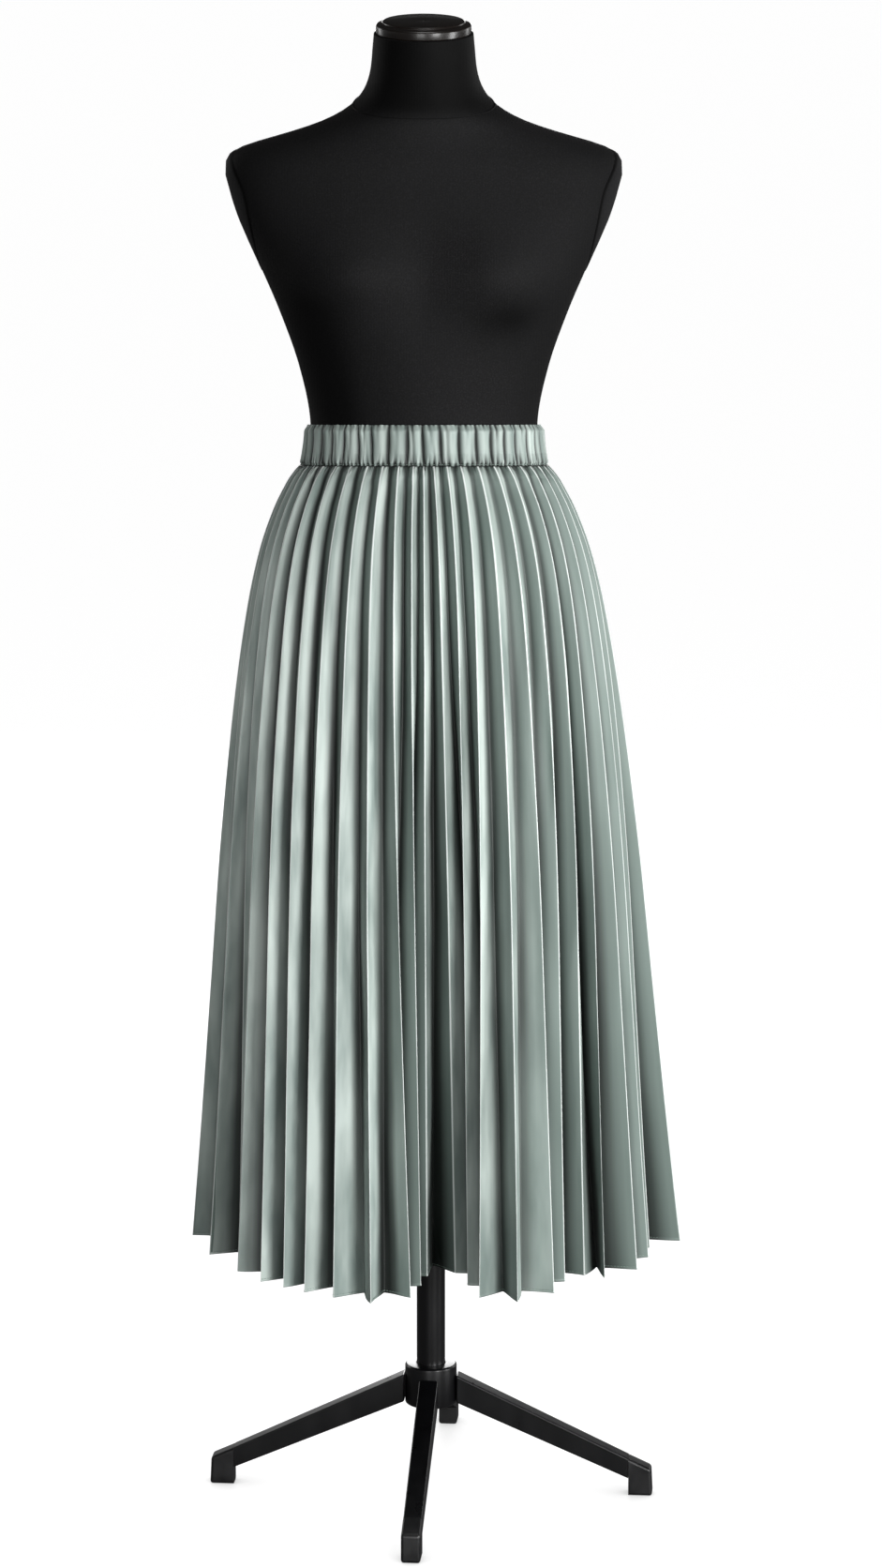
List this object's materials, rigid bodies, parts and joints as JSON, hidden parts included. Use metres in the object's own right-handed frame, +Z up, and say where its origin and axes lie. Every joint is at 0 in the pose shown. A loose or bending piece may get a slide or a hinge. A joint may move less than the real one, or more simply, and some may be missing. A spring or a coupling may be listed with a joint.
{
  "type": "pleated skirt on dress form",
  "caption": "Satin midi skirt pressed in sharp pleats that widen to the hem, with a gathered elastic waistband, worn on a limbless dress form that turns on a pole with a four-legged base.",
  "frame": {"origin": "on the floor under the pole's axis, at the bottom centre of the whole part", "axes": "+Z up along the pole, -Y out of the skirt's front, +X to the right as seen from the front"},
  "size_m": [0.4984, 0.4552, 1.4972],
  "materials": {
    "satin": "polyester satin, sage grey-green, soft directional sheen",
    "jersey": "black stretch jersey, matt",
    "cap_lacquer": "black gloss",
    "powder_coat": "black satin powder coat",
    "foot_plastic": "black moulded plastic"
  },
  "bodies": {
    "stand": {"pole": "powder_coat", "hub": "powder_coat", "leg_front": "powder_coat", "leg_right": "powder_coat", "leg_back": "powder_coat", "leg_left": "powder_coat", "foot_front": "foot_plastic", "foot_right": "foot_plastic", "foot_back": "foot_plastic", "foot_left": "foot_plastic"},
    "form": {"form": "jersey", "neck_cap": "cap_lacquer", "waistband": "satin", "skirt_front": "satin", "skirt_back": "satin"}
  },
  "joints": [
    {"name": "form_turn", "type": "hinge", "parent": "stand", "child": "form", "pos_m": [0, 0, 0.79], "axis": [0, 0, 1], "continuous": true}
  ]
}
